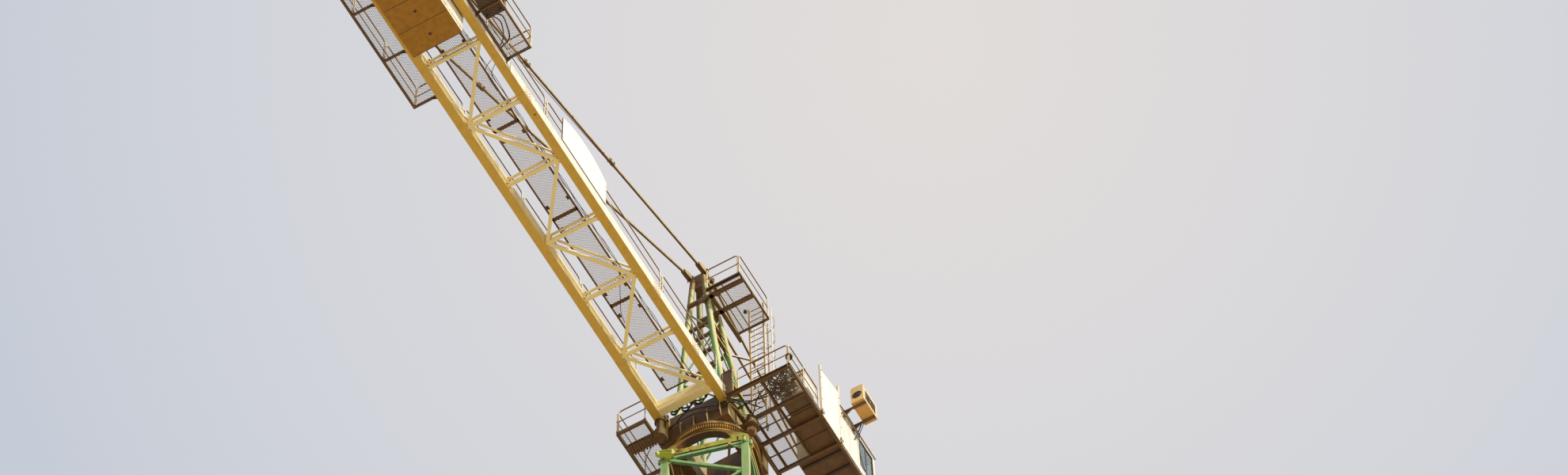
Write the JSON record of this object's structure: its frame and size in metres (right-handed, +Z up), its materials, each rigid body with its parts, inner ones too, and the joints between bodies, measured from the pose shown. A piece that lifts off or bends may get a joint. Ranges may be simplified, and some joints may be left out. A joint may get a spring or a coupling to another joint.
{
  "type": "tower crane scale model at 1:2",
  "caption": "Half-size tower crane: lattice mast on a base cross, slewing jib and girder counter-jib with platforms, cab, tower head, ties and counterweights.",
  "frame": {"origin": "on the ground under the mast axis, on the underside of the base cross's centre plate", "axes": "+X along the jib, -X along the counter-jib, +Z up, -Y the side of the cab"},
  "size_m": [33.3497, 4.7122, 14.7747],
  "materials": {
    "green_paint": "weathered green and yellow paint with rust",
    "cream_paint": "weathered cream yellow paint with rust spots",
    "rail_paint": "weathered cream paint",
    "white_paint": "chalky white paint",
    "ochre_concrete": "ochre painted slabs",
    "cab_glass": "clear glass",
    "brown_paint": "brown weathered paint",
    "ring_paint": "golden yellow weathered paint",
    "dark_steel": "dark grey paint"
  },
  "bodies": {
    "tower": {"base_cross": "green_paint", "mast_section_1": "green_paint", "mast_section_2": "green_paint", "mast_section_3": "green_paint", "mast_section_4": "green_paint", "mast_section_5": "green_paint", "mast_section_6": "green_paint", "mast_ladder": "brown_paint", "slewing_support": "ring_paint", "slewing_ring": "ring_paint"},
    "upper": {"turntable": "brown_paint", "slewing_drive": "brown_paint", "left_platform": "brown_paint", "cab_platform": "brown_paint", "cab_platform_rail": "rail_paint", "electrical_cabinet": "dark_steel", "screen_panel": "white_paint", "cab_floor": "brown_paint", "cab_walls": "white_paint", "cab_glass": "cab_glass", "cab_roof": "white_paint", "air_conditioner": "white_paint", "head_legs": "green_paint", "head_block": "brown_paint", "top_platform": "brown_paint", "top_platform_rail": "rail_paint", "head_ladder": "rail_paint", "girder_left": "cream_paint", "girder_right": "cream_paint", "counter_jib_bracing": "cream_paint", "walkway": "brown_paint", "walkway_rails": "rail_paint", "name_board": "white_paint", "counterweights": "ochre_concrete", "side_platform_left": "brown_paint", "side_platform_right": "brown_paint", "resistor_box": "dark_steel", "hoist_winch": "dark_steel", "rear_ties": "brown_paint", "jib_section_1": "cream_paint", "jib_section_2": "cream_paint", "jib_section_3": "cream_paint", "jib_section_4": "cream_paint", "jib_section_5": "cream_paint", "jib_section_6": "cream_paint", "jib_ties": "brown_paint", "trolley": "ring_paint", "hook_block": "ring_paint", "hoist_rope": "dark_steel"}
  },
  "joints": [
    {"name": "slewing", "type": "hinge", "parent": "tower", "child": "upper", "pos_m": [0, 0, 9.9105], "axis": [0, 0, 1], "continuous": true}
  ]
}
